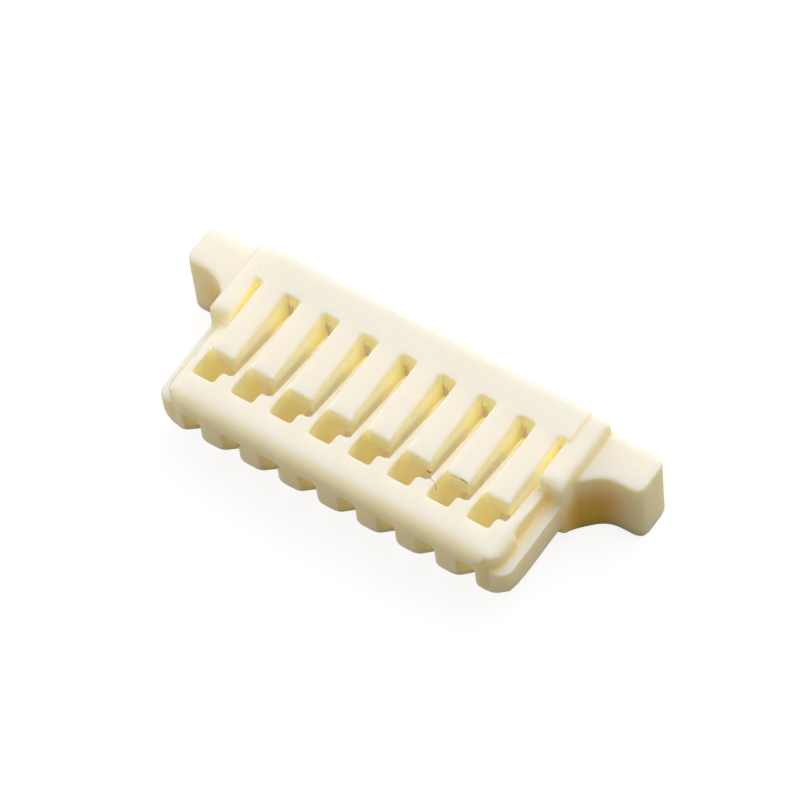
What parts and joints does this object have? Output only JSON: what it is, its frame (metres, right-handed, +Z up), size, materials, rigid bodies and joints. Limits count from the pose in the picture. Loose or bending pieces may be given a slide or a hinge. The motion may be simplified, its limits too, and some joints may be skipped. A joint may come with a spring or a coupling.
{
  "type": "electrical connector",
  "caption": "Moulded receptacle housing for a row of crimped wire terminals: rounded mating nose, open latch lances over the channels and two pull ears at the wire side.",
  "frame": {"origin": "middle of the bounding box on the underside", "axes": "+X along the row of channels, +Y from the mating nose to the wire side, +Z up out of the lance side"},
  "size_m": [0.0116, 0.0042, 0.0023],
  "materials": {
    "housing": "natural ivory nylon, satin, slightly translucent"
  },
  "bodies": {
    "root": {"housing": "housing"}
  },
  "joints": []
}
